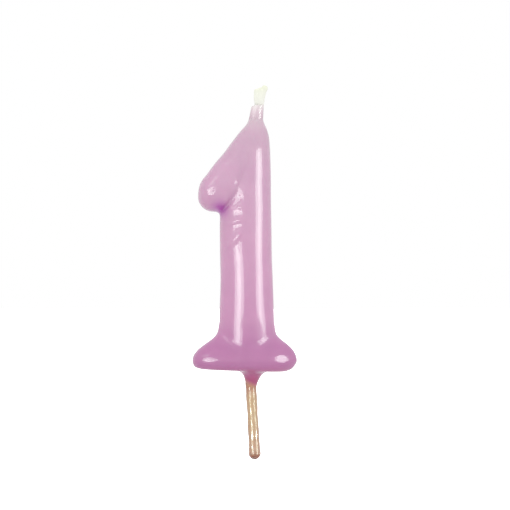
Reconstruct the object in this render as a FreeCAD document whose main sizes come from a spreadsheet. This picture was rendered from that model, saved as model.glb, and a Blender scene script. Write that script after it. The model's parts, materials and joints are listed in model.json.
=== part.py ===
import FreeCAD, Part
import math
import os

import Sketcher
from FreeCAD import Placement, Rotation, Vector

# A dipped-wax numeral 1 birthday candle on a glazed wooden pick.
# Millimetres, +Z up, the numeral read from -Y. The origin is on the pick's axis, level with
# the flat underside of the foot, which is where the candle meets the icing.

SIZES = [
    # the numeral's column, from the underside of the foot to the neck at the wick
    ("numeral_tall", 56.6, "underside of the foot to the neck"),
    ("foot_wide", 23.55, "foot, at its widest"),
    ("foot_deep", 9.8, "foot, front to back"),
    ("foot_shift", -1.33, "middle of the foot, from the pick's axis"),
    ("foot_belly", 2.6, "height of the foot's widest place"),
    ("flat_wide", 17.6, "flat underside, side to side"),
    ("flat_deep", 7.0, "flat underside, front to back"),
    ("flat_shift", -1.0, "middle of the flat underside"),
    ("flare_top", 10.0, "height where the foot's flare becomes the stem"),
    ("stem_low_wide", 12.1, "stem, just above the flare"),
    ("stem_wide", 11.35, "stem, where the shoulder starts"),
    ("stem_deep", 9.2, "stem, front to back"),
    ("stem_low_shift", -0.85, "middle of the stem above the flare"),
    ("stem_shift", -1.05, "middle of the stem where the shoulder starts"),
    ("shoulder_low", 44.0, "height where the shoulder starts"),
    ("neck_wide", 3.1, "neck, side to side"),
    ("neck_deep", 2.3, "neck, front to back"),
    ("neck_shift", 1.25, "middle of the neck"),
    # the flag: the short stroke that hangs from the shoulder
    ("flag_side", -7.05, "middle of the flag's widest place, from the pick's axis"),
    ("flag_height", 40.9, "middle of the flag's widest place, above the underside"),
    ("flag_lean", 31.0, "flag's axis from the vertical, degrees"),
    ("flag_radius", 4.36, "flag at its widest, side to side and front to back"),
    ("lobe_long", 5.65, "widest place to the flag's rounded lower end"),
    ("lobe_end", 3.7, "radius of that end"),
    ("flag_run", 14.2, "widest place to the flag's upper end"),
    ("flag_tip", 2.3, "radius of the flag where its upper end meets the shoulder"),
    # the coloured dip
    ("coat", 0.8, "thickness of the coloured wax over the core"),
    ("core_flag_short", 3.0, "how much sooner the core's flag ends inside the shoulder"),
    ("skirt_radius", 3.1, "wax that has run onto the pick, where it leaves the foot"),
    ("skirt_tall", 3.3, "how far that wax runs down the pick"),
    # the wick: a flat plait of three cotton yarns
    ("yarn_radius", 0.29, "one yarn of the plait"),
    ("plait_wide", 2.0, "plait, side to side over the yarns"),
    ("plait_thick", 1.46, "plait, front to back over the yarns"),
    ("plait_pitch", 6.6, "one full turn of a yarn through the plait"),
    ("wick_room", 1.16, "hole for the wick, times the width and thickness of the plait"),
    ("wick_low", 13.6, "lower end of the wick, above the underside"),
    ("wick_low_shift", -0.75, "lower end of the wick, from the pick's axis"),
    ("film_tall", 3.0, "thin wax round the foot of the wick, above the neck"),
    ("film_lean", 0.55, "how far the wick moves sideways over the film"),
    ("film_wall", 0.13, "thickness of that wax at its upper edge"),
    ("tip_tall", 4.2, "bare wick above the film"),
    ("tip_lean", 0.55, "how far the bare wick moves sideways"),
    ("tip_fan", 0.75, "how far the outer yarns spread at the tip"),
    ("tip_slant", 0.35, "how much higher the cut tip is on its right, half of it"),
    # the wooden pick and its clear glaze
    ("pick_radius", 1.05, "round birch pick"),
    ("pick_out", 20.0, "underside of the foot to the lower end of the glaze"),
    ("pick_in", 12.4, "length of pick inside the wax"),
    ("pick_point", 9.0, "length of the pick's taper"),
    ("pick_point_radius", 0.4, "radius at the end of the taper"),
    ("pick_lean", 3.2, "pick out of the vertical, degrees"),
    ("pick_clear", 0.02, "pick to the wax and the glaze round it"),
    ("pick_break", 0.25, "rounded edge at the pick's cut end"),
    ("glaze", 0.18, "thickness of the clear glaze on the pick"),
    ("glaze_start", 0.05, "lower edge of the wax skirt to the upper edge of the glaze"),
    ("glaze_drop", 0.57, "drop of glaze under the pick, over the pick's radius"),
]

# Shape of the flare between the foot's belly and the stem: share of the height,
# then share of the way from the foot's width to the stem's.
FLARE = [(0.31, 0.235), (0.55, 0.585), (0.775, 0.9)]
# Shape of the shoulder: share of its height, then shares of the way from the stem to the
# neck in width, in sideways place and in depth.
SHOULDER = [(0.476, 0.32, 0.48, 0.14), (0.81, 0.66, 0.85, 0.5)]
# Corner between the flat underside and the belly: share of the height and of the width.
TOE = (0.32, 0.68)
# The core's shoulder ends at this share of the height of the outside's.
CORE_STOPS = 0.82
# The plait: points on a yarn in one pitch, and the turn at the film's upper edge, where
# the three yarns lie side by side.
STEPS = 12
LAST_TURN = math.radians(66)
GRIP = 0.45  # share of a run that its arc takes at each end

# Names for the numbers that a sketch's constraints use.
ORIGIN = H_AXIS = -1
V_AXIS = -2
START, FINISH, CENTRE = 1, 2, 3

doc = FreeCAD.newDocument("number_candle")
sheet = doc.addObject("Spreadsheet::Sheet", "sizes")
for row, (alias, value, meaning) in enumerate(SIZES, 1):
    sheet.set(f"A{row}", meaning)
    sheet.set(f"B{row}", str(value))
    sheet.setAlias(f"B{row}", alias)
doc.recompute()


def between(first, last, share):
    """An expression for the value a share of the way from one expression to another."""
    return f"({first}) + (({last}) - ({first})) * {share}"


def bind(thing, prop, words):
    """Binds a property to an expression in which <alias> stands for a cell of the sheet."""
    thing.setExpression(prop, words.replace("<", "sizes.").replace(">", ""))


def number(words):
    """The present value of such an expression."""
    return float(sheet.evalExpression(words.replace("<", "").replace(">", "")))


def origin_plane(body, role):
    """One of the body's own origin planes."""
    return next(feature for feature in body.Origin.OriginFeatures if feature.Role == role)


def new_body(name):
    return doc.addObject("PartDesign::Body", name)


def ellipse_sketch(body, name, height, shift, wide, deep):
    """A level ellipse at a height, its middle on the XZ plane. All four are expressions."""
    sketch = body.newObject("Sketcher::SketchObject", name)
    sketch.AttachmentSupport = [(origin_plane(body, "XY_Plane"), "")]
    sketch.MapMode = "FlatFace"
    bind(sketch, "AttachmentOffset.Base.x", shift)
    bind(sketch, "AttachmentOffset.Base.z", height)
    ring = sketch.addGeometry(Part.Ellipse(Vector(0, 0, 0), 6.0, 4.0), False)
    sketch.exposeInternalGeometry(ring)
    long_line, short_line = ring + 1, ring + 2
    sketch.addConstraint(Sketcher.Constraint("Horizontal", long_line))
    measure(sketch, "wide", "Distance", (long_line,), wide)
    measure(sketch, "deep", "Distance", (short_line,), deep)
    sketch.addConstraint(Sketcher.Constraint("Coincident", ring, CENTRE, ORIGIN, START))
    return sketch


def loft(body, name, sections):
    """Adds the solid that runs smoothly through a list of sections."""
    sketches = [
        ellipse_sketch(body, f"{name}_{number}", *section)
        for number, section in enumerate(sections, 1)
    ]
    feature = body.newObject("PartDesign::AdditiveLoft", name)
    feature.Profile = sketches[0]
    feature.Sections = sketches[1:]
    feature.Ruled = False
    return feature


def upright_sketch(body, name, side="0", height="0", lean="0"):
    """A sketch on the XZ plane, moved to a point and turned by an angle in that plane."""
    sketch = body.newObject("Sketcher::SketchObject", name)
    sketch.AttachmentSupport = [(origin_plane(body, "XZ_Plane"), "")]
    sketch.MapMode = "FlatFace"
    sketch.AttachmentOffset = Placement(Vector(0, 0, 0), Rotation(Vector(0, 0, 1), 1))
    bind(sketch, "AttachmentOffset.Base.x", side)
    bind(sketch, "AttachmentOffset.Base.y", height)
    bind(sketch, "AttachmentOffset.Rotation.Angle", lean)
    return sketch


def outline(sketch, points, arcs=()):
    """A closed outline through named points, each a pair of expressions (across, up).

    arcs maps the number of an edge to its radius, with the centre on the side that is
    given by the sign: plus for a bulge to the right of the way that the edge runs.
    """
    arcs = dict(arcs)
    values = [tuple(number(words) for words in point) for point in points]
    corners = [Vector(across, up, 0) for across, up in values]
    count = len(corners)
    for edge in range(count):
        start, end = corners[edge], corners[(edge + 1) % count]
        if edge in arcs:
            middle = arc_middle(start, end, number(arcs[edge]))
            sketch.addGeometry(Part.Arc(start, middle, end), False)
        else:
            sketch.addGeometry(Part.LineSegment(start, end), False)
    ends = [edge_ends(sketch, edge, corners) for edge in range(count)]
    for edge in range(count):
        following = (edge + 1) % count
        sketch.addConstraint(
            Sketcher.Constraint("Coincident", edge, ends[edge][1], following, ends[following][0])
        )
    for edge, (across, up) in enumerate(points):
        first = ends[edge][0]
        place_point(sketch, edge, first, "DistanceX", across, f"across_{edge}")
        place_point(sketch, edge, first, "DistanceY", up, f"up_{edge}")
    for edge, radius in arcs.items():
        measure(sketch, f"radius_{edge}", "Radius", (edge,), f"abs({radius})")


def arc_middle(start, end, radius):
    """The middle of the shorter arc of a radius between two points."""
    chord = end - start
    half = chord.Length / 2
    rise = abs(radius) - math.sqrt(radius * radius - half * half)
    right = Vector(chord.y, -chord.x, 0).normalize()
    return (start + end) / 2 + right * math.copysign(rise, radius)


def edge_ends(sketch, edge, corners):
    """The point numbers of an edge's start and end, because an arc may run backwards."""
    start = sketch.getPoint(edge, 1)
    return (1, 2) if start.distanceToPoint(corners[edge]) < 1e-6 else (2, 1)


def place_point(sketch, edge, point, kind, words, label):
    """Fixes one coordinate of a point: on an axis if it is zero, or at a distance."""
    if words == "0":
        axis = V_AXIS if kind == "DistanceX" else H_AXIS
        sketch.addConstraint(Sketcher.Constraint("PointOnObject", edge, point, axis))
    else:
        measure(sketch, label, kind, (ORIGIN, START, edge, point), words)


def revolve(body, name, sketch):
    """Turns a half outline fully round its sketch's upright axis."""
    feature = body.newObject("PartDesign::Revolution", name)
    feature.Profile = sketch
    feature.ReferenceAxis = (sketch, ["V_Axis"])
    feature.Angle = 360.0
    return feature


def column_sections(inset):
    """The column's sections from the underside up, each taken in by the inset."""

    def section(height, shift, wide, deep):
        return (height, shift, f"({wide}) - 2 * {inset}", f"({deep}) - 2 * {inset}")

    toe_height, toe_share = TOE
    sections = [
        section(inset, "<flat_shift>", "<flat_wide>", "<flat_deep>"),
        section(
            between(inset, "<foot_belly>", toe_height),
            between("<flat_shift>", "<foot_shift>", toe_share),
            between("<flat_wide>", "<foot_wide>", toe_share),
            between("<flat_deep>", "<foot_deep>", toe_share),
        ),
        section("<foot_belly>", "<foot_shift>", "<foot_wide>", "<foot_deep>"),
    ]
    for height, share in FLARE:
        sections.append(
            section(
                between("<foot_belly>", "<flare_top>", height),
                between("<foot_shift>", "<stem_low_shift>", share),
                between("<foot_wide>", "<stem_low_wide>", share),
                between("<foot_deep>", "<stem_deep>", share),
            )
        )
    low = section("<flare_top>", "<stem_low_shift>", "<stem_low_wide>", "<stem_deep>")
    high = section("<shoulder_low>", "<stem_shift>", "<stem_wide>", "<stem_deep>")
    return sections + [low], low, high, section


def shoulder_sections(section, high, stops=1.0):
    """The shoulder's sections, from the stem to the neck or to a share of the way."""
    sections = [high]
    for height, wide, shift, deep in SHOULDER + [(1.0, 1.0, 1.0, 1.0)]:
        if height > stops:
            break
        sections.append(
            section(
                between("<shoulder_low>", "<numeral_tall>", height),
                between("<stem_shift>", "<neck_shift>", shift),
                between("<stem_wide>", "<neck_wide>", wide),
                between("<stem_deep>", "<neck_deep>", deep),
            )
        )
    return sections


def numeral_form(name, inset, stops=1.0, flag_short="0"):
    """The whole numeral, taken in by the inset: foot, stem, shoulder and flag in one body."""
    body = new_body(name)
    foot, low, high, section = column_sections(inset)
    loft(body, f"{name}_foot", foot)
    loft(body, f"{name}_stem", [low, high])
    loft(body, f"{name}_shoulder", shoulder_sections(section, high, stops))
    flag = flag_outline(body, f"{name}_flag_outline", inset, f"<flag_run> - {flag_short}")
    revolve(body, f"{name}_flag", flag)
    return body


def flag_outline(body, name, inset, run):
    """Half of the flag along its leaning axis: a small arc for the rounded end, a larger
    one for the side and a straight taper to the shoulder, each tangent to the last."""
    sketch = upright_sketch(body, name, "<flag_side>", "<flag_height>", "-<flag_lean>")
    wide, long_end = number(f"<flag_radius> - {inset}"), number(f"<lobe_long> - {inset}")
    end_radius, tip = number(f"<lobe_end> - {inset}"), number(f"<flag_tip> - {inset}")
    side_radius = number(side_words(inset))
    end_centre = Vector(0, end_radius - long_end, 0)
    side_centre = Vector(wide - side_radius, 0, 0)
    join = side_centre + (end_centre - side_centre).normalize() * side_radius
    bottom, widest = Vector(0, -long_end, 0), Vector(wide, 0, 0)
    corner, top = Vector(tip, number(run), 0), Vector(0, number(run), 0)
    end_turns = [-math.pi / 2, math.atan2(join.y - end_centre.y, join.x)]
    side_turns = [end_turns[1], 0]
    up = Vector(0, 0, 1)
    end = sketch.addGeometry(
        Part.ArcOfCircle(Part.Circle(end_centre, up, end_radius), *end_turns), False
    )
    side = sketch.addGeometry(
        Part.ArcOfCircle(Part.Circle(side_centre, up, side_radius), *side_turns), False
    )
    taper = sketch.addGeometry(Part.LineSegment(widest, corner), False)
    lid = sketch.addGeometry(Part.LineSegment(corner, top), False)
    middle = sketch.addGeometry(Part.LineSegment(top, bottom), False)
    for kind, *where in [
        ("Tangent", end, FINISH, side, START),
        ("Tangent", side, FINISH, taper, START),
        ("Coincident", taper, FINISH, lid, START),
        ("Coincident", lid, FINISH, middle, START),
        ("Coincident", middle, FINISH, end, START),
        ("PointOnObject", end, CENTRE, V_AXIS),
        ("PointOnObject", middle, START, V_AXIS),
        ("PointOnObject", middle, FINISH, V_AXIS),
        ("PointOnObject", side, CENTRE, H_AXIS),
        ("Horizontal", lid),
    ]:
        sketch.addConstraint(Sketcher.Constraint(kind, *where))
    for label, kind, where, words in [
        ("end_radius", "Radius", (end,), f"<lobe_end> - {inset}"),
        ("end_depth", "DistanceY", (end, START, ORIGIN, START), f"<lobe_long> - {inset}"),
        ("side_radius", "Radius", (side,), side_words(inset)),
        ("tip_radius", "DistanceX", (ORIGIN, START, taper, FINISH), f"<flag_tip> - {inset}"),
        ("run", "DistanceY", (ORIGIN, START, taper, FINISH), run),
    ]:
        measure(sketch, label, kind, where, words)
    return sketch


def side_words(inset):
    """The radius of the flag's side: tangent to the rounded end, and as wide as the flag
    at the widest place."""
    wide, end = f"(<flag_radius> - {inset})", f"(<lobe_end> - {inset})"
    gap = "(<lobe_long> - <lobe_end>)"
    return f"({gap} ^ 2 + {wide} ^ 2 - {end} ^ 2) / (2 * ({wide} - {end}))"


def measure(sketch, label, kind, where, words):
    """Adds a named dimension to a sketch and binds it to an expression."""
    index = sketch.addConstraint(Sketcher.Constraint(kind, *where, number(words)))
    sketch.renameConstraint(index, label)
    bind(sketch, f"Constraints.{label}", words)


def pick_form(name, grow, low_end):
    """The round pick with its taper upwards, grown by a clearance, along the leaning axis."""
    body = new_body(name)
    half = upright_sketch(body, f"{name}_outline")
    radius = f"<pick_radius> + {grow}"
    point = f"<pick_point_radius> + {grow}"
    shoulder = "<pick_in> - <pick_point>"
    outline(
        half,
        [
            ("0", low_end),
            (f"{radius} - <pick_break>", low_end),
            (radius, f"{low_end} + <pick_break>"),
            (radius, shoulder),
            (point, f"<pick_in> + {grow}"),
            ("0", f"<pick_in> + {grow}"),
        ],
    )
    revolve(body, f"{name}_turned", half)
    lean(body)
    return body


def lean(body):
    """Tips a body about the origin, so that its lower end moves towards +X."""
    body.Placement = Placement(Vector(0, 0, 0), Rotation(Vector(0, 1, 0), 1))
    bind(body, "Placement.Rotation.Angle", "-<pick_lean>")


def wooden_pick():
    pick = pick_form("pick_blank", "0", "-<pick_out> + <pick_radius> * <glaze_drop>")
    pick.Label = "wooden_pick"
    return pick


def pick_glaze():
    """The clear glaze: a sleeve with a round closed end, from the wax skirt down."""
    body = new_body("glaze_sleeve")
    half = upright_sketch(body, "glaze_outline")
    outer = "<pick_radius> + <glaze>"
    inner = "<pick_radius> + <pick_clear>"
    wood_end = "-<pick_out> + <pick_radius> * <glaze_drop> - <pick_clear>"
    outline(
        half,
        [
            ("0", "-<pick_out>"),
            (outer, f"-<pick_out> + {outer}"),
            (outer, "-<skirt_tall> - <glaze_start>"),
            (inner, "-<skirt_tall> - <glaze_start>"),
            (inner, f"{wood_end} + <pick_break>"),
            (f"{inner} - <pick_break>", wood_end),
            ("0", wood_end),
        ],
        {0: outer},
    )
    revolve(body, "glaze_turned", half)
    lean(body)
    body.Label = "pick_glaze"
    return body


def wax_skirt():
    """The coloured wax that has run down onto the pick, a hollow-sided cone."""
    body = new_body("wax_skirt")
    half = upright_sketch(body, "skirt_outline")
    low_radius = "<pick_radius> + <glaze>"
    outline(
        half,
        [
            ("0", "-<skirt_tall>"),
            (low_radius, "-<skirt_tall>"),
            ("<skirt_radius>", "0"),
            ("<skirt_radius>", "<coat> / 2"),
            ("0", "<coat> / 2"),
        ],
        {1: "-<skirt_tall> * 1.15"},
    )
    revolve(body, "skirt_turned", half)
    lean(body)
    return body


def wick_channel():
    """The flat hole that the wick fills, from its lower end to the film's upper edge."""
    body = new_body("wick_channel")
    wide, thick = "<plait_wide> * <wick_room>", "<plait_thick> * <wick_room>"
    low = ("<wick_low> - <yarn_radius>", "<wick_low_shift>", wide, thick)
    neck = ("<numeral_tall>", "<neck_shift>", wide, thick)
    top = ("<numeral_tall> + <film_tall>", "<neck_shift> + <film_lean>", wide, thick)
    loft(body, "channel", [low, neck])
    loft(body, "channel_top", [neck, top])
    return body


def cut(name, base, *tools):
    """Cuts one or more tools out of a base."""
    tool = tools[0]
    if len(tools) > 1:
        tool = doc.addObject("Part::MultiFuse", f"{name}_tools")
        tool.Shapes = list(tools)
    result = doc.addObject("Part::Cut", name)
    result.Base = base
    result.Tool = tool
    return result


def wick_film(channel):
    """The thin sleeve of wax that the last dip leaves round the foot of the wick."""
    body = new_body("film_sleeve")
    neck = ("<numeral_tall>", "<neck_shift>", "<neck_wide>", "<neck_deep>")
    top = (
        "<numeral_tall> + <film_tall>",
        "<neck_shift> + <film_lean>",
        "<plait_wide> * <wick_room> + 2 * <film_wall>",
        "<plait_thick> * <wick_room> + 2 * <film_wall>",
    )
    loft(body, "film", [neck, top])
    return cut("wick_film", body, channel)


def wick_middle(height):
    """Sideways place of the plait's middle at a height: three straight runs, through the
    wax, through the film and up to the cut tip."""
    film_shift = number("<neck_shift> + <film_lean>")
    stops = [
        (number("<wick_low>"), number("<wick_low_shift>")),
        (number("<numeral_tall>"), number("<neck_shift>")),
        (number("<numeral_tall> + <film_tall>"), film_shift),
        (number("<numeral_tall> + <film_tall> + <tip_tall>"), film_shift + number("<tip_lean>")),
    ]
    run = sum(height > stop for stop, _ in stops[1:-1])
    (below, low_shift), (above, high_shift) = stops[run], stops[run + 1]
    return low_shift + (high_shift - low_shift) * (height - below) / (above - below)


def yarn_route(lag):
    """Points of one yarn's centre line.

    In the plait each yarn swings from side to side once a pitch and passes over and under
    the others, which follow a third of a turn apart. Above the film the plait has come
    undone, and the yarns run up side by side and spread.
    """
    swing = number("<plait_wide> / 2 - <yarn_radius>")
    lift = number("<plait_thick> / 2 - <yarn_radius>")
    step = number("<plait_pitch>") / STEPS
    low = number("<wick_low>")
    film_top = number("<numeral_tall> + <film_tall>")
    points = []
    for count in range(int((film_top - low) / step) + 1):
        height = film_top - step * count
        angle = LAST_TURN + lag - 2 * math.pi / STEPS * count
        across = wick_middle(height) + swing * math.sin(angle)
        points.insert(0, Vector(across, lift * math.sin(2 * angle), height))
    side = math.sin(LAST_TURN + lag)
    for share in (0.3, 0.65, 1.0):
        rise = number("<tip_tall>") + number("<tip_slant>") * side
        height = film_top + share * rise
        spread = swing + number("<tip_fan>") * share**0.8
        points.append(Vector(wick_middle(height) + side * spread, points[-1].y * 0.7, height))
    return points


def rounded_path(points):
    """A wire of straight runs joined by tangent arcs, each as large as its runs allow."""
    edges = []
    here = points[0]
    for before, corner, after in zip(points, points[1:], points[2:]):
        back = (before - corner).normalize()
        onward = (after - corner).normalize()
        reach = GRIP * min(before.distanceToPoint(corner), after.distanceToPoint(corner))
        start, end = corner + back * reach, corner + onward * reach
        half_turn = (math.pi - back.getAngle(onward)) / 2
        radius = reach / math.tan(half_turn)
        inwards = (back + onward).normalize()
        middle = corner + inwards * (radius / math.cos(half_turn) - radius)
        edges.append(Part.makeLine(here, start))
        edges.append(Part.Arc(start, middle, end).toShape())
        here = end
    edges.append(Part.makeLine(here, points[-1]))
    return Part.Wire(edges)


def wick_yarn(name, lag):
    """One of the three yarns, as a round tube along its route."""
    points = yarn_route(lag)
    path = rounded_path(points)
    radius = number("<yarn_radius>")
    ring = Part.Wire(Part.makeCircle(radius, points[0], points[1] - points[0]))
    yarn = doc.addObject("Part::Feature", name)
    yarn.Shape = path.makePipeShell([ring], True, False)
    share = yarn.Shape.Volume / (math.pi * radius**2 * path.Length)
    print(f"{name}: volume over section times length is {share:.4f}")
    return yarn


outside = numeral_form("outside", "0")
core_body = numeral_form("core_body", "<coat>", CORE_STOPS, "<core_flag_short>")
skirt = wax_skirt()
channel = wick_channel()
pick_hole = pick_form("pick_hole", "<pick_clear>", "-<skirt_tall> - 1")
doc.recompute()

dipped = doc.addObject("Part::MultiFuse", "dipped")
dipped.Shapes = [outside, skirt]
coat = cut("colour_coat", dipped, core_body, pick_hole, channel)
core = cut("wax_core", core_body, pick_hole, channel)
film = wick_film(channel)
pieces = [coat, core, film, wooden_pick(), pick_glaze()]
pieces += [wick_yarn(f"wick_yarn_{turn + 1}", 2 * math.pi / 3 * turn) for turn in range(3)]
doc.recompute()

for thing in doc.Objects:
    bad = {"Invalid", "Error"} & set(thing.State)
    if bad:
        raise SystemExit(f"{thing.Name} failed: {thing.State}")
for piece in pieces:
    if piece.Shape.isNull() or not piece.Shape.isValid() or not piece.Shape.Solids:
        raise SystemExit(f"{piece.Label} has no valid solid")

os.makedirs("parts", exist_ok=True)
for piece in pieces:
    piece.Shape.exportStep(f"parts/{piece.Label}.step")
    box = piece.Shape.optimalBoundingBox()
    print(
        f"{piece.Label}: {len(piece.Shape.Solids)} solid, {piece.Shape.Volume:.1f} mm3, "
        f"X {box.XMin:.2f} to {box.XMax:.2f}, Y {box.YMin:.2f} to {box.YMax:.2f}, "
        f"Z {box.ZMin:.2f} to {box.ZMax:.2f}"
    )
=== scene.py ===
# %% [markdown]
# # A number candle, the numeral 1 on a wooden pick
#
# The real thing is made by hand. A numeral is cast in white paraffin round a plaited wick, a
# toothpick is pushed into its foot, and it is dipped in hot coloured wax that runs, sags and sets
# glossy. So nearly every surface is soft and slightly uneven, and most of the look is in how long
# bright reflections wander down it. The plan: load the measured frame, set up a small product
# studio, sculpt the wax as one melted skin, then make the wick, its film and the glazed pick.

# %% Load the frame
import json

import bmesh
import bpy
import numpy as np
from mathutils import Matrix, Vector


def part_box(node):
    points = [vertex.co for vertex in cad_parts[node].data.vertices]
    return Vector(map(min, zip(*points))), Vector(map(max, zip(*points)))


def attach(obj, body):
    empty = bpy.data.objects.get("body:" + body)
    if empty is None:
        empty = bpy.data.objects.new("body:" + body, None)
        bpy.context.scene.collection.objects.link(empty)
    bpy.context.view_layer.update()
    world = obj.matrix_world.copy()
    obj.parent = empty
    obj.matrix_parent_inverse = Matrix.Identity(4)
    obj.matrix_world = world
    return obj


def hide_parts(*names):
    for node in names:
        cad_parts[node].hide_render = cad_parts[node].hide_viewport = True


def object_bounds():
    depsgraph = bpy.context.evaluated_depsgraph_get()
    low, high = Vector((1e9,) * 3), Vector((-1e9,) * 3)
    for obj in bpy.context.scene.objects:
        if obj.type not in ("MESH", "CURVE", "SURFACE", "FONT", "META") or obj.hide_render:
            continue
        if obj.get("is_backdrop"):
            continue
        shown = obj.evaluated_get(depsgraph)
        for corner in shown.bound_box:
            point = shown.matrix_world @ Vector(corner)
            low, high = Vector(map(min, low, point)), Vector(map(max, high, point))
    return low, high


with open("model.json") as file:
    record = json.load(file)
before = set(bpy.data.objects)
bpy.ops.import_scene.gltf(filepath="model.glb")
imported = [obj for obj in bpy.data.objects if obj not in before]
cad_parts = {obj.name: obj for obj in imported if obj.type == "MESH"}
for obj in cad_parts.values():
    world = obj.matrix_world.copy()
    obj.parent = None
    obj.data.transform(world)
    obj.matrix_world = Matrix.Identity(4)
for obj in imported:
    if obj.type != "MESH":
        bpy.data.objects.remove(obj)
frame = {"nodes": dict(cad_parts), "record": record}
cad_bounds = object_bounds()
MM = 0.001
coat_low, coat_high = (Vector(corner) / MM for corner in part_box("colour_coat"))
film_high = Vector(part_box("wick_film")[1]) / MM
glaze_low, glaze_high = (Vector(corner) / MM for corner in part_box("pick_glaze"))
print("coloured wax, mm:", [round(side, 2) for side in coat_high - coat_low])

# %% [markdown]
# ## The camera
#
# A small object looks true when the camera is far away and the lens is long, because then the foot
# and the wick are seen from nearly the same angle. The camera stands 430 mm in front of the
# numeral, a little below the middle of its height, and a 135 mm lens frames about 115 mm.

# %% Camera
LENS, SENSOR = 135.0, 36.0
CAMERA_ACROSS, CAMERA_DISTANCE, CAMERA_HEIGHT = 0.0011, 0.430, 0.02597
scene = bpy.context.scene
camera_data = bpy.data.cameras.new("camera")
camera_data.lens = LENS
camera_data.sensor_width = SENSOR
camera_data.clip_start = 0.01
camera = bpy.data.objects.new("camera", camera_data)
camera.location = (CAMERA_ACROSS, -CAMERA_DISTANCE, CAMERA_HEIGHT)
camera.rotation_euler = (np.pi / 2, 0, 0)
scene.collection.objects.link(camera)
scene.camera = camera
print("frame width, mm:", round(CAMERA_DISTANCE * SENSOR / LENS / MM, 1))

# %% [markdown]
# ## The studio
#
# Glossy wax shows its lights as shapes, so the lights are placed by the shapes they should draw.
# On an upright rounded stem, a light that is 28 degrees to the left of the camera shows up as a
# tall streak left of the middle, and one at 50 degrees to the right as a streak near the right
# edge. Both are tall softboxes that start at the floor. The left one ends just above the candle,
# so its streak breaks up where the wax is rippled and stops under the flag. A weaker box, high on
# the left, is for the flag's upper side. They only make reflections, and they are faintly green,
# which makes their reflections on the pink coat a neutral white.

# %% Lights
scene.view_settings.view_transform = "Standard"
BOX_COLOUR = (0.85, 1.0, 0.9)
AIM = Vector((0, 0, camera.location.z))


def softbox(name, turn, low, high, distance, width, power):
    """A tall glossy-only area light, turned to the right of the camera by an angle in degrees,
    that reaches from one height to another in millimetres above the camera's."""
    data = bpy.data.lights.new(name, "AREA")
    data.shape = "RECTANGLE"
    data.size, data.size_y = width, (high - low) * MM
    data.energy = power * data.size * data.size_y
    data.color = BOX_COLOUR
    light = bpy.data.objects.new(name, data)
    turn = np.radians(turn)
    away = Vector((np.sin(turn), -np.cos(turn), 0))
    light.location = AIM + away * distance + Vector((0, 0, (low + high) / 2 * MM))
    light.rotation_euler = away.to_track_quat("Z", "Y").to_euler()
    light.visible_diffuse = False
    scene.collection.objects.link(light)
    return light


# A wide sheet on each side has a brighter tube in front of its middle, so that the streak has a
# bright core and a soft edge.
softbox("left_sheet", turn=-28, low=-44, high=50, distance=0.5, width=0.27, power=15)
softbox("left_tube", turn=-28, low=-44, high=-8, distance=0.49, width=0.11, power=13)
softbox("right_sheet", turn=50, low=-44, high=110, distance=0.5, width=0.29, power=15)
softbox("high_sheet", turn=-42, low=150, high=330, distance=0.5, width=0.2, power=5)
softbox("right_tube", turn=50, low=-44, high=90, distance=0.49, width=0.1, power=9)

# %% [markdown]
# ## Daylight
#
# The soft light that colours the wax comes from all round, so it can be tuned by itself. It is a
# world whose strength depends on the direction it comes from: brighter from the camera's side than
# from behind, and a little brighter from above than from below.

# %% Daylight from all round
DAYLIGHT = {"front": 1.1, "back": 0.72, "below": 0.0, "above": 0.09}
world = bpy.data.worlds.new("surroundings")
scene.world = world
world.use_nodes = True
nodes, links = world.node_tree.nodes, world.node_tree.links
nodes.clear()
where = nodes.new("ShaderNodeTexCoord")
parts = nodes.new("ShaderNodeSeparateXYZ")
links.new(where.outputs["Generated"], parts.inputs[0])


def fade(axis, low, high):
    """A value that goes from low to high as a direction's part along an axis rises."""
    node = nodes.new("ShaderNodeMapRange")
    node.inputs["From Min"].default_value = -1
    node.inputs["To Min"].default_value = low
    node.inputs["To Max"].default_value = high
    links.new(parts.outputs[axis], node.inputs["Value"])
    return node.outputs[0]


total = nodes.new("ShaderNodeMath")
links.new(fade("Y", DAYLIGHT["front"], DAYLIGHT["back"]), total.inputs[0])
links.new(fade("Z", DAYLIGHT["below"], DAYLIGHT["above"]), total.inputs[1])
# What the camera sees directly stays a plain white backdrop.
seen = nodes.new("ShaderNodeLightPath")
strength = nodes.new("ShaderNodeMix")
strength.inputs[3].default_value = 1.0
background = nodes.new("ShaderNodeBackground")
background.inputs["Color"].default_value = (1, 1, 1, 1)
output = nodes.new("ShaderNodeOutputWorld")
links.new(seen.outputs["Is Camera Ray"], strength.inputs[0])
links.new(total.outputs[0], strength.inputs[2])
links.new(strength.outputs[0], background.inputs["Strength"])
links.new(background.outputs[0], output.inputs["Surface"])
print("daylight:", DAYLIGHT)

# %% [markdown]
# ## The floor
#
# The candle stands on its pick on a plain white table top. A matt sheet would show every soft grey
# gradient of the lights, so the sheet glows a little for the camera, like a light table. To the
# candle it stays a dull sheet, so the wax gets little light from below; painted shade along the
# bottom of the foot makes it darker and fuller in colour there as well.

# %% Floor
FLOOR_HALF = 1.2
floor_mesh = bpy.data.meshes.new("floor")
corners = [(x, y, cad_bounds[0][2]) for x, y in [(-1, -1), (1, -1), (1, 1), (-1, 1)]]
floor_mesh.from_pydata([(x * FLOOR_HALF, y * FLOOR_HALF, z) for x, y, z in corners], [], [range(4)])
floor = bpy.data.objects.new("floor", floor_mesh)
scene.collection.objects.link(floor)
floor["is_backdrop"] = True
print("floor at, mm:", round(cad_bounds[0][2] / MM, 2))

# %% [markdown]
# ## Small helpers for materials
#
# Each finish is one Principled shader with a few texture nodes in front of it. The helpers keep the
# wiring short: one makes the shader, one adds a node and joins its inputs, and the others are a
# colour ramp, a mix of two colours and the height on a piece.

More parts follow.
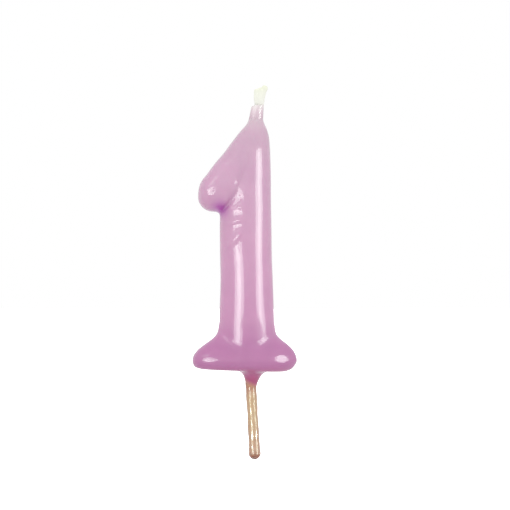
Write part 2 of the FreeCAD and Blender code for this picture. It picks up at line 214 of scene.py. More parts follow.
# %% Material helpers
def finish(name, values):
    """A new material with one Principled shader, its plain values set on its own sockets."""
    material = bpy.data.materials.new(name)
    material.use_nodes = True
    shader = material.node_tree.nodes["Principled BSDF"]
    for socket, value in values.items():
        shader.inputs[socket].default_value = value
    return material, shader


def add(material, kind, values=(), **joins):
    """A node of a kind. values are its plain inputs, and joins its linked ones."""
    node = material.node_tree.nodes.new("ShaderNode" + kind)
    for socket, value in dict(values).items():
        node.inputs[socket].default_value = value
    for socket, source in joins.items():
        material.node_tree.links.new(source, node.inputs[socket])
    return node


def ramp(material, source, stops):
    """A colour ramp over a value, from (place, colour) stops."""
    node = add(material, "ValToRGB", Fac=source)
    points = node.color_ramp.elements
    while len(points) < len(stops):
        points.new(0.5)
    for point, (place, colour) in zip(points, stops):
        point.position, point.color = place, (*colour, 1)
    return node.outputs["Color"]


def blend_colour(material, factor, first, second, mode="MIX"):
    """Mixes two colours by a factor. Each may be a socket or a plain colour."""
    node = material.node_tree.nodes.new("ShaderNodeMix")
    node.data_type, node.blend_type = "RGBA", mode
    for index, value in ((0, factor), (6, first), (7, second)):
        if isinstance(value, bpy.types.NodeSocket):
            material.node_tree.links.new(value, node.inputs[index])
        else:
            node.inputs[index].default_value = value if index == 0 else (*value, 1)
    return node.outputs[2]


def height_along(material, low, high):
    """0 at one height and 1 at another, in metres along Z."""
    place = add(material, "TexCoord")
    split = add(material, "SeparateXYZ", Vector=place.outputs["Object"])
    share = add(material, "MapRange", {"From Min": low, "From Max": high}, Value=split.outputs["Z"])
    return share.outputs[0]


# %% Table top
table_top, shader = finish("table_top", {
    "Base Color": (0.85, 0.85, 0.85, 1), "Roughness": 0.9, "Emission Color": (1, 1, 1, 1),
})
glow = add(table_top, "LightPath").outputs["Is Camera Ray"]
table_top.node_tree.links.new(glow, shader.inputs["Emission Strength"])
floor_mesh.materials.append(table_top)
print("first finish:", table_top.name)

# %% [markdown]
# ## The wax numeral
#
# Modelling melted wax from primitives leaves hard seams where they meet. Instead, the form is
# written as a field: a function that is negative inside the wax, zero on its skin and positive
# outside. Strokes are simple fields, and a smooth minimum melts them together as the hot wax did.
# A rough mesh is then remeshed to even quads, and every vertex is slid onto the zero of the field,
# so the result is as smooth as the formula. All the sizes in this part are in millimetres, and
# each stroke follows a few stations, with smooth curves between them.

# %% Stations of the strokes
# The upright stem, from inside the foot to the neck: height, left edge, right edge, half depth.
STEM = np.array([
    (0.0, -6.9, 5.5, 4.5),
    (8.8, -6.95, 5.4, 4.5),
    (11.3, -6.92, 5.33, 4.52),
    (21.5, -6.72, 5.1, 4.58),
    (32.0, -6.78, 4.85, 4.6),
    (40.0, -6.2, 4.65, 4.55),
    (46.0, -5.2, 4.55, 4.28),
    (50.0, -4.3, 4.45, 4.0),
    (52.5, -2.9, 4.25, 3.3),
    (54.2, -1.6, 3.8, 2.45),
    (55.4, -0.75, 3.25, 1.8),
    (56.6, -0.3, 2.9, 1.4),
    (58.4, 0.1, 2.85, 1.15),
])
# The foot, with thin wings that run up the sides of the stem. The same four columns.
FOOT = np.array([
    (0.0, -11.8, 8.9, 4.1),
    (0.6, -12.5, 9.6, 4.5),
    (1.3, -12.8, 10.1, 4.83),
    (2.2, -13.05, 10.45, 4.97),
    (3.2, -12.85, 10.3, 4.88),
    (4.6, -11.85, 9.65, 4.45),
    (5.9, -10.2, 8.4, 3.9),
    (7.3, -8.35, 6.55, 3.3),
    (8.8, -7.1, 5.2, 2.7),
    (10.5, -6.3, 4.5, 2.0),
])
# The flag, a sagging roll of wax: place across, height, radius, half of the depth.
FLAG = np.array([
    (-8.45, 38.95, 3.25, 3.9),
    (-7.75, 39.7, 3.9, 4.5),
    (-6.9, 40.4, 4.5, 4.85),
    (-5.8, 41.7, 4.55, 4.9),
    (-4.75, 43.5, 4.4, 4.7),
    (-2.8, 47.0, 3.65, 4.0),
    (-0.6, 51.4, 2.7, 3.0),
    (0.75, 54.3, 1.6, 2.0),
])
# The wax that ran down the pick: height, place across, radius.
SKIRT = np.array([
    (-3.9, 0.2, 1.22),
    (-3.2, 0.25, 1.3),
    (-2.4, 0.34, 1.48),
    (-1.6, 0.45, 1.78),
    (-0.8, 0.56, 2.2),
    (0.4, 0.7, 3.1),
])
NECK_TOP = coat_high.z + 0.7
FOOT_TOP = FOOT[-1, 0]
FAR = 20  # further out than any of the wax
PROBES = 1601  # places on a line where the skin is looked for, from in front of it to the middle
print("stations:", [len(stroke) for stroke in (STEM, FOOT, FLAG, SKIRT)])


# %% Smooth curves, windows and melting
def through(stations, at):
    """Smooth curves through stations. The first column is where, the others are the values."""
    place, values = stations[:, 0], stations[:, 1:]
    steps = np.diff(place)[:, None]
    slopes = np.diff(values, axis=0) / steps
    inner = slopes[:-1] * slopes[1:]
    bends = np.where(inner > 0, 2 * inner / np.where(inner > 0, slopes[:-1] + slopes[1:], 1), 0)
    bends = np.vstack([slopes[:1], bends, slopes[-1:]])
    run = np.clip(np.searchsorted(place, at) - 1, 0, len(place) - 2)
    share = np.clip((at - place[run]) / np.diff(place)[run], 0, 1)[:, None]
    start, end = values[run], values[run + 1]
    lean, next_lean = bends[run] * steps[run], bends[run + 1] * steps[run]
    return (
        start * (1 + 2 * share) * (1 - share) ** 2
        + lean * share * (1 - share) ** 2
        + end * share**2 * (3 - 2 * share)
        + next_lean * share**2 * (share - 1)
    )


def window(value, low, high, soft):
    """1 between two values, fading to 0 outside them."""
    rise = np.clip((value - low) / soft + 0.5, 0, 1)
    fall = np.clip((high - value) / soft + 0.5, 0, 1)
    return rise * rise * (3 - 2 * rise) * fall * fall * (3 - 2 * fall)


def melt(first, second, reach):
    """The smooth minimum of two fields: where both are near zero, they flow together."""
    overlap = np.maximum(reach - np.abs(first - second), 0) / reach
    return np.minimum(first, second) - overlap**2 * reach / 4


def melt_high(first, second, reach):
    """The smooth maximum, which rounds the edge where one field cuts another."""
    return -melt(-first, -second, reach)


half_way = through(STEM, np.array([coat_high.z / 2]))[0]
print("stem at half its height, left, right and half depth, mm:", half_way.round(2))

# %% A field for each stroke
FOOT_SQUARER = 1.3  # added to the foot's power at its blunter left end
UNDERSIDE_SLOPE = 0.035  # the underside is lower on the right
EDGE_MELT, TOE_MELT = 0.4, 0.9  # how round the strokes' ends and the foot's lower edge are
ROLL = 2.5  # a little squarer than a circle, which is 2
flag_run = np.concatenate([[0], np.cumsum(np.hypot(*np.diff(FLAG[:, :2], axis=0).T))])
flag_balls = through(np.column_stack([flag_run, FLAG]), np.linspace(0, flag_run[-1], 70))


def upright_field(stations, power, x, y, z):
    """An upright bar with oval sections from stations. A power above 2 makes them squarer."""
    left, right, depth = through(stations, z).T
    middle, half = (left + right) / 2, (right - left) / 2
    around = np.abs((x - middle) / half) ** power + np.abs(y / depth) ** power
    return ((around + 1e-9) ** (1 / power) - 1) * np.minimum(half, depth)


def stem_field(x, y, z):
    side = upright_field(STEM, 2, x, y, z)
    return melt_high(side, melt_high(1 - z, z - NECK_TOP, EDGE_MELT), 0.3)


def foot_field(x, y, z):
    side = upright_field(FOOT, 2 + FOOT_SQUARER * window(x, -FAR, -5, 3), x, y, z)
    underside = -z - UNDERSIDE_SLOPE * (x + 1)
    return melt_high(side, melt_high(underside, z - FOOT_TOP, EDGE_MELT), TOE_MELT)


def flag_field(x, y, z):
    field = np.full(len(x), np.inf)
    for across, height, radius, depth in flag_balls:
        apart = np.hypot(x - across, z - height) ** ROLL + np.abs(y * radius / depth) ** ROLL
        field = np.minimum(field, apart ** (1 / ROLL) - radius)
    return field


def skirt_field(x, y, z):
    across, radius = through(SKIRT, z).T
    side = np.hypot(x - across, y) - radius
    return melt_high(side, np.maximum(SKIRT[0, 0] - z, z - SKIRT[-1, 0] - 1), 0.5)


print("flag: a roll", flag_run[-1].round(1), "mm long, from", len(flag_balls), "balls")

# %% [markdown]
# ## How the wax sagged
#
# Three things make it look dipped and not moulded. There is a fold under the flag where two rolls
# of wax met, deepest half way along it. Below the fold the skin has a few small ripples. And the
# whole skin is very slightly wavy, a tenth of a millimetre or less, which nothing shows but the
# reflections. Sculpting these by hand would be hard to repeat, so each is a small term that is
# added to the field.

# %% Fold, ripples and waves
FOLD = np.array([(-7.5, 35.0), (-6.3, 36.1), (-4.3, 38.1), (-2.2, 40.6)])
FOLD_DEEP, FOLD_WIDE = 0.7, 0.5
# Each ripple: height on the left of the stem, rise to the right, width and height of its ridge.
RIPPLES = [(36.3, 0.1, 0.7, 0.1), (33.3, 0.15, 0.7, 0.09), (28.9, 1.0, 1.0, 0.16)]
# Each wave: its height, how fast it turns across, up and backwards, and where it starts.
WAVES = [(0.04, 0.45, 0.2, 0.0, 0.4), (0.03, 0.8, -0.15, 0.3, 1.9), (0.012, 0.3, 0.5, 0.5, 0.0)]


def along_fold(x, z):
    """Distance to the fold's line, and the share of the way along it."""
    nearest, share_there = np.full(len(x), np.inf), np.zeros(len(x))
    count = len(FOLD) - 1
    for number, (start, end) in enumerate(zip(FOLD[:-1], FOLD[1:])):
        run = end - start
        share = ((x - start[0]) * run[0] + (z - start[1]) * run[1]) / (run @ run)
        share = np.clip(share, 0, 1)
        apart = np.hypot(x - start[0] - share * run[0], z - start[1] - share * run[1])
        closer = apart < nearest
        nearest = np.where(closer, apart, nearest)
        share_there = np.where(closer, (number + share) / count, share_there)
    return nearest, share_there


def sag(x, y, z):
    """How far the skin lies inside the plain strokes."""
    apart, share = along_fold(x, z)
    fold = FOLD_DEEP * share * (1 - share) * np.exp(-((apart / FOLD_WIDE) ** 2))
    ripples = 0
    for height, slant, width, rise in RIPPLES:
        crest = height + slant * (x + 4)
        ripples = ripples - rise * np.exp(-(((z - crest) / width) ** 2))
    # The ripples are on the left half of the front only.
    ripples = ripples * window(x, -5.2, -2.0, 1.4) * window(y, -9, 0, 2)
    waves = sum(
        rise * np.sin(across * x + up * z + start + back * y)
        for rise, across, up, back, start in WAVES
    )
    return fold + ripples + waves * window(z, 1.0, 55.0, 4.0)


print("fold:", len(FOLD), "points, ripples:", len(RIPPLES), "waves:", len(WAVES))

# %% The strokes melted together
FOOT_MELT, SKIRT_MELT = 0.7, 1.3  # how far the stem and foot, and the foot and skirt, flow together
FLAG_TOUCH, SHOULDER_FLOW, NOTCH_FLOW = 0.4, 1.6, 1.2


def plain_wax(points):
    """All the strokes melted together, with the sag."""
    x, y, z = points.T
    # Under the flag the two rolls only touch. Further up they flow into one, and so does the
    # notch where the flag's underside leaves the stem.
    reach = FLAG_TOUCH + SHOULDER_FLOW * window(z, 44.5, 50, 6) * window(x, -FAR, -0.8, 3)
    reach += NOTCH_FLOW * window(x, -FAR, -6.2, 1.2) * window(z, 30, 37, 1.5)
    upright = melt(stem_field(x, y, z), foot_field(x, y, z), FOOT_MELT)
    body = melt(upright, flag_field(x, y, z), reach) + sag(x, y, z)
    return melt(body, skirt_field(x, y, z), SKIRT_MELT)


front = np.column_stack([np.zeros(PROBES), np.linspace(-8, 0, PROBES), np.full(PROBES, 20.0)])
print("skin in front of the stem, mm:", round(-float(front[np.argmax(plain_wax(front) < 0)][1]), 2))

# %% [markdown]
# ## Flats that catch the light
#
# The wax set a little flatter in a few places, and a flat that is a tenth of a millimetre deep
# turns a thin streak into a broad patch of light. There is one on the end of the flag, three where
# the ripples are and one on each toe of the foot. A sculpting brush could press them in, but a
# plane can be aimed: each flat says which way it faces, and the skin is melted back to it.

# %% Flats
# Each flat: x, z, degrees it faces to the right, degrees it faces up, slope of its long side,
# half length, half width, depth.
FLATS = [
    (-8.8, 40.2, -13, -1.5, 54, 1.4, 0.42, 0.09),
    (-3.3, 37.95, -12, -1.5, 47, 1.8, 0.95, 0.1),
    (-2.85, 35.4, -10, -1.5, 80, 1.1, 1.0, 0.05),
    (-2.9, 32.5, -10, -1.5, 20, 1.0, 0.8, 0.04),
    (-9.0, 2.4, -14, 4, 3, 1.9, 0.65, 0.05),
    (7.0, 2.8, 25, 3, -10, 1.35, 0.75, 0.07),
]
FLAT_SHARE = 0.7  # how much of a flat is level, before its edge bends away
FLAT_BEND = 0.7
FLAT_MELT = 0.12


def flat_plane(flat):
    """Where a flat lies: its middle on the skin, and the way it faces, runs and goes across."""
    across, height, turn, tilt, slant = flat[:5]
    depths = np.linspace(-8, 0, PROBES)
    line = np.column_stack([np.full(PROBES, across), depths, np.full(PROBES, height)])
    middle = line[np.argmax(plain_wax(line) < 0)]
    turn, tilt, slant = np.radians((turn, tilt, slant))
    facing = np.array([np.sin(turn) * np.cos(tilt), -np.cos(turn) * np.cos(tilt), np.sin(tilt)])
    run = np.array([np.cos(slant), 0, np.sin(slant)])
    run = run - facing * (run @ facing)
    run /= np.linalg.norm(run)
    return middle, facing, run, np.cross(facing, run)


flat_planes = [flat_plane(flat) for flat in FLATS]


def wax_field(points):
    """The whole skin: the plain wax, cut back to each flat."""
    field = plain_wax(points)
    for flat, (middle, facing, run, cross) in zip(FLATS, flat_planes):
        long, wide, depth = flat[5:]
        apart = points - middle
        outside = np.hypot(apart @ run / long, apart @ cross / wide) - FLAT_SHARE
        bend = FLAT_BEND * wide * np.maximum(outside, 0) ** 2
        field = melt_high(field, apart @ facing + depth - bend, FLAT_MELT)
    return field


print("flats, mm to the front:", [round(-float(middle[1]), 2) for middle, *_ in flat_planes])

# %% [markdown]
# ## From the field to a mesh
#
# Marching through a grid would show the grid in every reflection. A rough shape of tubes and balls
# is quicker: a voxel remesh turns it into one closed skin of even quads, and then each point slides
# along the field's slope until it lies on the skin. Between slides the points relax towards their
# neighbours, and a last few passes of that take out what noise is left.

# %% Points that slide and relax
LEAST_STEEPNESS = 0.04  # of the squared slope, so that a step stays short where the field is level
LONGEST_STEP = 0.5


def slope_of(field, points, step=0.02):
    """The gradient of a field, by central differences."""
    slope = np.empty_like(points)
    for axis in range(3):
        nudge = np.zeros(3)
        nudge[axis] = step
        slope[:, axis] = (field(points + nudge) - field(points - nudge)) / (2 * step)
    return slope


def slide_onto(field, points, rounds):
    """Moves points along the gradient until they lie where the field is zero."""
    for _ in range(rounds):
        slope = slope_of(field, points)
        steepness = np.maximum((slope**2).sum(1), LEAST_STEEPNESS)
        step = (field(points) / steepness)[:, None] * slope
        length = np.maximum(np.linalg.norm(step, axis=1, keepdims=True), 1e-9)
        points = points - step * np.minimum(1, LONGEST_STEP / length)
    return points


def relax(mesh, points, strength):
    """Moves each point towards the middle of its neighbours, which evens out the quads."""
    ends = np.empty(len(mesh.edges) * 2, dtype=np.int32)
    mesh.edges.foreach_get("vertices", ends)
    first, second = ends.reshape(-1, 2).T
    total = np.zeros_like(points)
    count = np.zeros(len(points))
    for here, there in ((first, second), (second, first)):
        np.add.at(total, here, points[there])
        np.add.at(count, here, 1)
    return points + (total / count[:, None] - points) * strength


print("longest step of a point, mm:", LONGEST_STEP)


# %% Mesh helpers
def mesh_points(mesh):
    flat = np.empty(len(mesh.vertices) * 3)
    mesh.vertices.foreach_get("co", flat)
    return flat.reshape(-1, 3)


def tube(build, rings, sides=48):
    """A closed tube through rings, each (centre, half width, half depth), level in Z."""
    turns = np.linspace(0, 2 * np.pi, sides, endpoint=False)
    loops = []
    for centre, wide, deep in rings:
        loops.append([
            build.verts.new(centre + Vector((np.cos(turn) * wide, np.sin(turn) * deep, 0)))
            for turn in turns
        ])
    for low, high in zip(loops, loops[1:]):
        for side in range(sides):
            after = (side + 1) % sides
            build.faces.new((low[side], low[after], high[after], high[side]))
    build.faces.new(loops[0][::-1])
    build.faces.new(loops[-1])


def piece_from(build, name):
    """Turns a bmesh into an object of the scene."""
    mesh = bpy.data.meshes.new(name)
    build.to_mesh(mesh)
    build.free()
    piece = bpy.data.objects.new(name, mesh)
    scene.collection.objects.link(piece)
    return piece


def remeshed(piece, voxel):
    """Applies a voxel remesh, so that overlapping shells become one skin of even quads."""
    modifier = piece.modifiers.new("remesh", "REMESH")
    modifier.mode, modifier.voxel_size = "VOXEL", voxel
    shown = piece.evaluated_get(bpy.context.evaluated_depsgraph_get())
    mesh = bpy.data.meshes.new_from_object(shown)
    piece.modifiers.clear()
    piece.data = mesh
    return mesh


def shade_smooth(mesh):
    for polygon in mesh.polygons:
        polygon.use_smooth = True


# %% Rough shape
build = bmesh.new()
for stations, low, high in ((STEM, 1.0, NECK_TOP), (FOOT, 0.1, FOOT_TOP)):
    heights = np.linspace(low, high, 40)
    tube(build, [
        (Vector(((left + right) / 2, 0, height)), (right - left) / 2, depth)
        for height, (left, right, depth) in zip(heights, through(stations, heights))
    ])
drops = np.linspace(SKIRT[0, 0], 1.0, 16)
tube(build, [
    (Vector((across, 0, height)), radius, radius)
    for height, (across, radius) in zip(drops, through(SKIRT, drops))
])
for across, height, radius, depth in flag_balls[::4]:
    spot = Matrix.Translation((across, 0, height)) @ Matrix.Diagonal((1, depth / radius, 1, 1))
    bmesh.ops.create_icosphere(build, subdivisions=3, radius=radius, matrix=spot)
numeral = piece_from(build, "numeral_skin")
print("rough shape:", len(numeral.data.polygons), "faces")

# %% Remeshed and slid onto the field
VOXEL = 0.24
SLIDES, LAST_RELAXES = 3, 3
skin = remeshed(numeral, VOXEL)
points = mesh_points(skin)
for _ in range(SLIDES):
    points = slide_onto(wax_field, relax(skin, points, 0.6), 4)
for _ in range(LAST_RELAXES):
    points = relax(skin, points, 0.5)
print("skin:", len(points), "points, worst miss in mm:", np.abs(wax_field(points)).max().round(4))

# %% [markdown]
# ## Deeper dye and painted shade
#
# The colour is deeper in the fold under the flag and along the bottom of the foot. Part of that is
# dye, where the wax is thick or lies in a pool, and part is painted shade, in the crease of the
# fold and on the foot's downward face. On the pick the wax is so thin that the brown wood shows
# through.
# Each vertex gets three painted amounts, which the material mixes with. Attributes are a simple way
# to paint what depends on the shape and would be awkward to write with nodes.

# %% Painted amounts on the skin
NOTCH = (-6.7, 36.2)  # the corner between the flag's underside and the stem
FOLD_REACH, NOTCH_REACH = 1.3, 1.7
POOL_SHADE_TOP, POOL_SHADE_FADE = 1.2, 3.2
THIN_TOP, THIN_FADE = -1.2, 1.4


def paint(mesh, name, values):
    layer = mesh.attributes.new(name, "FLOAT", "POINT")
    layer.data.foreach_set("value", values.astype(np.float32))


x, y, z = points.T
apart, share = along_fold(x, z)
# The fold's deeper dye and painted shade are strongest at its outer end and fade towards the
# shoulder.
fold_dye_and_shade = 0.6 * np.exp(-((apart / FOLD_REACH) ** 2)) * (1 - share) ** 1.5
notch_dye_and_shade = np.exp(-((np.hypot(x - NOTCH[0], z - NOTCH[1]) / NOTCH_REACH) ** 2))
# Painted shade mixed with deeper dye, in the fold and in the notch.
paint(skin, "fold", np.maximum(fold_dye_and_shade, notch_dye_and_shade))
# Painted shade along the bottom of the foot, mixed with deeper dye where the wax ran down and set
# thick.
paint(skin, "pooled_and_shaded", np.clip((POOL_SHADE_TOP - z) / POOL_SHADE_FADE, 0, 1))
# The thin wax starts lower on the right, where the pick leans out.
thin_edge = np.minimum(-1.6 - 0.5 * (x + 1), THIN_TOP)
paint(skin, "thin", np.clip((thin_edge - z) / THIN_FADE, 0, 1))
skin.vertices.foreach_set("co", (points * MM).ravel())
skin.update()
shade_smooth(skin)
print("painted:", [layer.name for layer in skin.attributes])

# %% [markdown]
# ## The coloured wax
#
# Dipped wax is mauve paraffin with a wet-looking surface. Light goes a little way in, which softens
# the shading, and the outside is glossy. So one shader has a soft, rough base with some subsurface
# and a clear coat on top, which gives the sharp reflections. The colour is palest at the neck and
# gets deeper towards the foot: partly a thinner coat of dye at the neck, partly painted light that
# is brighter above and painted shade below. A faint mottle keeps it from looking flat.

# %% Coloured wax
wax, shader = finish("coloured_wax", {
    "Roughness": 0.38,
    "Subsurface Weight": 0.35,
    "Subsurface Radius": (1.0, 0.55, 0.8),
    "Subsurface Scale": 0.0012,
    "Coat Weight": 1.0,
    "Coat Roughness": 0.05,
    "Coat IOR": 1.5,
})
share_up = height_along(wax, 0.0, coat_high.z * MM)
# Paler up the numeral: thinner dye at the neck, with painted light above and painted shade below.
base = ramp(wax, share_up, [
    (0.0, (0.50, 0.17, 0.38)),
    (0.1, (0.51, 0.175, 0.4)),
    (0.2, (0.62, 0.28, 0.49)),
    (0.5, (0.66, 0.34, 0.53)),
    (0.8, (0.65, 0.37, 0.54)),
    (0.94, (0.64, 0.41, 0.54)),
    (1.0, (0.70, 0.54, 0.61)),
])
spot = add(wax, "TexCoord")
mottle = add(wax, "TexNoise", {"Scale": 260.0, "Detail": 3.0}, Vector=spot.outputs["Object"])
uneven = ramp(wax, mottle.outputs["Fac"], [(0.3, (0.94, 0.93, 0.95)), (0.7, (1.0, 1.0, 1.0))])
base = blend_colour(wax, 1.0, base, uneven, "MULTIPLY")
# Deeper dye and painted shade in the fold and under the foot, and the wood showing through the thin
# wax on the pick.
for name, colour in (
    ("fold", (0.47, 0.09, 0.45)),
    ("pooled_and_shaded", (0.45, 0.06, 0.2)),
    ("thin", (0.55, 0.30, 0.16)),
):
    amount = add(wax, "Attribute")
    amount.attribute_name = name
    base = blend_colour(wax, amount.outputs["Fac"], base, colour)
wax.node_tree.links.new(base, shader.inputs["Base Color"])
skin.materials.append(wax)
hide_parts("colour_coat")
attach(numeral, "root")
print("coloured wax:", len(wax.node_tree.nodes), "nodes on", len(skin.polygons), "faces")

# %% [markdown]
# ## The uncoloured core
#
# Under the coat is the numeral as it was cast, in white paraffin. Nobody sees it until the candle
# burns or breaks, so the measured shape stays as it is and only gets a plain, slightly cloudy wax.

# %% Uncoloured core
paraffin, shader = finish("paraffin", {"Roughness": 0.5, "Subsurface Weight": 0.4})
cloud = add(paraffin, "TexNoise", {"Scale": 300.0, "Detail": 2.0})
tone = ramp(paraffin, cloud.outputs["Fac"], [(0.3, (0.86, 0.83, 0.8)), (0.7, (0.93, 0.91, 0.88))])
paraffin.node_tree.links.new(tone, shader.inputs["Base Color"])
frame["nodes"]["wax_core"].data.materials.clear()
frame["nodes"]["wax_core"].data.materials.append(paraffin)
print("core finish:", paraffin.name)

# %% [markdown]
# ## The wick
#
# The wick is a flat plait of three cotton yarns. Above the wax the plait has come undone at the
# cut, so the yarns stand side by side and the right-hand one flares out. A yarn is itself several
# plies twisted together. Sweeping each ply by itself would cost many faces for what is seen, so a
# yarn is one tube with shallow grooves that twist round it, and the twist is still real geometry.

# %% Lines of the yarns
# Each yarn's line: place across and front to back, and height, all from the film's upper edge.
YARNS = {
    "wick_yarn_left": ("wick_yarn_3", [
        (-1.15, 0.05, -4.4), (-0.7, 0.0, -2.0), (0.05, 0.0, 0.0), (-0.1, -0.05, 1.8),
        (-0.02, 0.0, 3.75),
    ]),
    "wick_yarn_middle": ("wick_yarn_2", [
        (-0.5, -0.1, -4.4), (-0.1, -0.1, -2.0), (0.4, -0.12, 0.0), (0.5, -0.14, 1.8),
        (0.85, -0.1, 4.0),
    ]),
    "wick_yarn_right": ("wick_yarn_1", [
        (0.2, 0.05, -4.4), (0.5, 0.0, -2.0), (0.8, 0.0, 0.0), (1.05, 0.0, 1.8),
        (1.4, 0.0, 3.3), (1.98, 0.05, 4.4),
    ]),
}
WICK_ACROSS = 1.62  # the middle of the wick where it leaves the film


def smooth_line(stations, count):
    """Evenly spaced points on a smooth line through a few stations."""
    stations = np.array(stations)
    run = np.concatenate([[0], np.cumsum(np.linalg.norm(np.diff(stations, axis=0), axis=1))])
    return through(np.column_stack([run, stations]), np.linspace(0, run[-1], count))


def length_of(line):
    return np.linalg.norm(np.diff(line, axis=0), axis=1).sum()


yarn_lines = {
    name: smooth_line(stations, 60) + np.array([WICK_ACROSS, 0, film_high.z])
    for name, (_, stations) in YARNS.items()
}
print("yarns, mm long:", [round(float(length_of(line)), 1) for line in yarn_lines.values()])

# %% A yarn's twisted surface
YARN_RADIUS, PLIES, PLY_GROOVE, TWIST_STEP = 0.58, 5, 0.05, 6.0
SWELL, OVAL = 0.12, 0.14  # thicker at the cut, and flatter than round
ROUND_FROM, ROUND_OVER = 0.93, 0.072  # the share of the length where the cut end rounds off
YARN_SIDES = 8 * PLIES


def sweep(build, line, radii, sides=8):
    """A tube along a line of points. radii gives a radius for each ring and side."""
    line = [Vector(point) for point in line]
    turns = np.linspace(0, 2 * np.pi, sides, endpoint=False)
    radii = np.broadcast_to(np.atleast_2d(radii), (len(line), sides))
    loops = []
    for number, point in enumerate(line):
        ahead = (line[min(number + 1, len(line) - 1)] - line[max(number - 1, 0)]).normalized()
        side = ahead.cross(Vector((0, 1, 0))).normalized()
        front = side.cross(ahead)
        loops.append([
            build.verts.new(point + (side * np.cos(turn) + front * np.sin(turn)) * radius)
            for turn, radius in zip(turns, radii[number])
        ])
    for low, high in zip(loops, loops[1:]):
        for side in range(sides):
            after = (side + 1) % sides
            build.faces.new((low[side], high[side], high[after], low[after]))
    build.faces.new(loops[0])
    build.faces.new(loops[-1][::-1])


def yarn_radii(line):
    """A radius for each ring and side of a yarn, with its plies as twisted grooves."""
    run = np.linspace(0, 1, len(line))[:, None]
    around = np.linspace(0, 2 * np.pi, YARN_SIDES, endpoint=False)
    twist = 2 * np.pi * run * length_of(line) / TWIST_STEP
    ply = np.abs(np.cos((around - twist) * PLIES / 2)) ** 0.7
    radii = YARN_RADIUS * (1 - PLY_GROOVE + PLY_GROOVE * ply) * (1 + SWELL * run**4)
    radii = radii * (1 + OVAL * np.cos(2 * around))
    rounding = np.clip((run - ROUND_FROM) / ROUND_OVER, 0, 1)
    return radii * np.sqrt(1 - rounding**2)


print("one turn of the twist, mm:", TWIST_STEP)

# %% Cotton
cotton, shader = finish("cotton", {"Roughness": 0.9, "Specular IOR Level": 0.2})
tip_share = height_along(cotton, film_high.z * MM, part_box("wick_yarn_1")[1][2])
tone = ramp(cotton, tip_share, [
    (0.0, (0.95, 0.95, 0.88)), (0.6, (0.96, 0.97, 0.86)), (1.0, (0.93, 0.95, 0.76)),
])
fibres = add(cotton, "TexNoise", {"Scale": 1500.0, "Detail": 2.0})
fibre_tone = ramp(cotton, fibres.outputs["Fac"], [(0.3, (0.96,) * 3), (0.6, (1,) * 3)])
tone = blend_colour(cotton, 1.0, tone, fibre_tone, "MULTIPLY")
cotton.node_tree.links.new(tone, shader.inputs["Base Color"])
bump = add(cotton, "Bump", {"Strength": 0.3, "Distance": 0.0001}, Height=fibres.outputs["Fac"])
cotton.node_tree.links.new(bump.outputs[0], shader.inputs["Normal"])
print("cotton:", len(cotton.node_tree.nodes), "nodes")

# %% Yarns and the loose fibres at their cut ends
FIBRES = 14
FIBRE_RADII = np.array([[0.1], [0.09], [0.05]])
rng = np.random.default_rng(7)
for name, (node, _) in YARNS.items():
    line = yarn_lines[name]
    build = bmesh.new()
    sweep(build, line * MM, yarn_radii(line) * MM, YARN_SIDES)
    for _ in range(FIBRES):
        turn, out = rng.uniform(0, 2 * np.pi), rng.uniform(0.1, 0.9) * YARN_RADIUS
        start = line[-8] + np.array([np.cos(turn), np.sin(turn), 0]) * out
        lean = rng.normal(0, 0.06, 3) + (line[-1] - line[-6])
        reach = rng.uniform(0.8, 1.15)
        fibre = [start + lean * reach * share for share in (0, 0.5, 1)]
        sweep(build, np.array(fibre) * MM, FIBRE_RADII * MM, 5)
    yarn = piece_from(build, name)
    shade_smooth(yarn.data)
    yarn.data.materials.append(cotton)
    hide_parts(node)
    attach(yarn, "root")
print("yarns:", len(YARNS), "of", PLIES, "plies, each with", FIBRES, "loose fibres")

# %% [markdown]
# ## The film round the foot of the wick
#
# When the candle is lifted out of the dip, a little wax clings to the wick and sets as a thin,
# milky sleeve with an uneven rim. A sheet without thickness would look like paper at that rim, so
# it is a real sleeve with two walls. Its rings follow the lean of the wick, with a wavy rim and a
# few ridges that grow towards it.

# %% Film shape
FILM_WALL = 0.12
FILM_SIDES, FILM_LEVELS = 64, 24
FILM_ROOT = 1.6  # how far it starts below the top of the neck
# At the neck, and what each changes by for a millimetre of height.
FILM_MIDDLE, FILM_LEAN = 1.31, 0.12
FILM_WIDE, WIDE_TAPER = 1.6, 0.085
FILM_DEEP, DEEP_TAPER = 1.4, 0.12


def film_ring(build, share, wall):
    """One ring of the sleeve's outer or inner wall, a share of the way up to the rim."""
    ring = []
    for turn in np.linspace(0, 2 * np.pi, FILM_SIDES, endpoint=False):
        rim = film_high.z + 0.25 * np.cos(turn) + 0.12 * np.sin(3 * turn + 1.0)
        height = NECK_TOP - FILM_ROOT + share * (rim - NECK_TOP + FILM_ROOT)
        middle = FILM_MIDDLE + FILM_LEAN * (height - coat_high.z)
        wide = FILM_WIDE - WIDE_TAPER * (height - coat_high.z) + wall
        deep = FILM_DEEP - DEEP_TAPER * (height - coat_high.z) + wall
        ridge = 1 + 0.05 * np.sin(5 * turn + 2.0) * share
        ring.append(build.verts.new(Vector((
            middle + np.cos(turn) * wide * ridge, np.sin(turn) * deep * ridge, height,
        )) * MM))
    return ring


build = bmesh.new()
outer, inner = (
    [film_ring(build, level / FILM_LEVELS, wall) for level in range(FILM_LEVELS + 1)]
    for wall in (0.0, -FILM_WALL)
)
for side in range(FILM_SIDES):
    after = (side + 1) % FILM_SIDES
    for level in range(FILM_LEVELS):
        low, high = outer[level], outer[level + 1]
        build.faces.new((low[side], low[after], high[after], high[side]))
        low, high = inner[level], inner[level + 1]
        build.faces.new((low[side], high[side], high[after], low[after]))
    build.faces.new((outer[-1][side], outer[-1][after], inner[-1][after], inner[-1][side]))
    build.faces.new((outer[0][after], outer[0][side], inner[0][side], inner[0][after]))
film = piece_from(build, "wick_film_skin")
shade_smooth(film.data)
print("film:", len(film.data.polygons), "faces")

